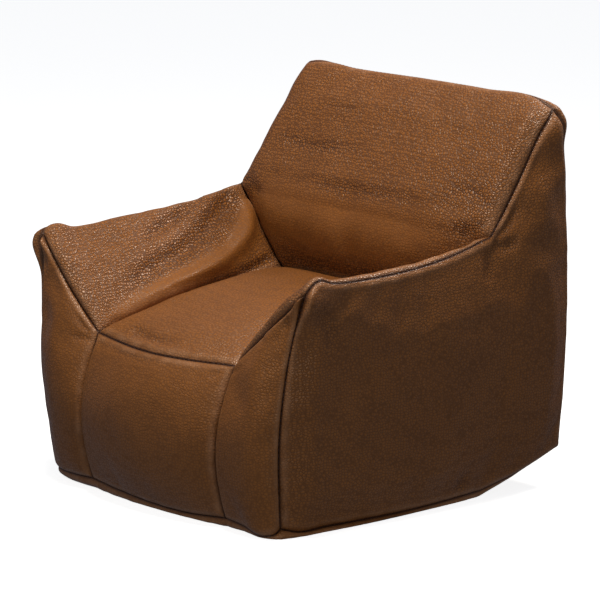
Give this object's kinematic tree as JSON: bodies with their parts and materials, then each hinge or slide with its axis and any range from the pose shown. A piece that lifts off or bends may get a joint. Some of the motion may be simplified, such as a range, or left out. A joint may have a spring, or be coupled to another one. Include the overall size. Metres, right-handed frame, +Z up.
{
  "type": "bean bag chair",
  "caption": "Square structured bean bag armchair: sewn faux-leather panel cover with low arms and a raked back, zipped round a liner full of beads.",
  "frame": {"origin": "on the floor, under the middle of the chair, in the plane of the base panel's flat face", "axes": "+Z up; the sitter faces -Y, so the open front is at -Y and the backrest at +Y; +X is the sitter's left"},
  "size_m": [0.785, 0.7677, 0.7453],
  "materials": {
    "faux_leather": "pebbled brown faux leather, satin",
    "zip_tape": "woven polyester tape",
    "zip_coil": "nylon coil",
    "zip_metal": "antiqued die-cast metal",
    "liner_cloth": "undyed woven liner cloth",
    "eps_beads": "expanded polystyrene beads"
  },
  "bodies": {
    "cover": {"seat_panel": "faux_leather", "seat_front_panel": "faux_leather", "backrest_panel": "faux_leather", "rear_panel": "faux_leather", "base_panel": "faux_leather", "left_arm_inner_panel": "faux_leather", "right_arm_inner_panel": "faux_leather", "left_arm_front_panel": "faux_leather", "right_arm_front_panel": "faux_leather", "left_side_panel": "faux_leather", "right_side_panel": "faux_leather", "cover_zip_tape_upper": "zip_tape", "cover_zip_tape_lower": "zip_tape", "cover_zip_coil_upper": "zip_coil", "cover_zip_coil_lower": "zip_coil", "cover_zip_end_stops": "zip_metal", "inner_liner": "liner_cloth", "bead_fill": "eps_beads", "liner_zip_tape_upper": "zip_tape", "liner_zip_tape_lower": "zip_tape", "liner_zip_coil_upper": "zip_coil", "liner_zip_coil_lower": "zip_coil", "liner_zip_end_stops": "zip_metal"},
    "cover_zip_slider": {"cover_zip_slider": "zip_metal"},
    "cover_zip_pull": {"cover_zip_pull": "zip_metal"},
    "liner_zip_slider": {"liner_zip_slider": "zip_metal"}
  },
  "joints": [
    {"name": "cover_zip_open", "type": "slide", "parent": "cover", "child": "cover_zip_slider", "axis": [-1, 0, 0], "range_m": [0, 0.47]},
    {"name": "cover_zip_pull_lift", "type": "hinge", "parent": "cover_zip_slider", "child": "cover_zip_pull", "pos_m": [0.235, 0.37836, 0.1181], "axis": [1, 0, 0], "range_deg": [0, 170]},
    {"name": "liner_zip_open", "type": "slide", "parent": "cover", "child": "liner_zip_slider", "axis": [-1, 0, 0], "range_m": [0, 0.33]}
  ]
}
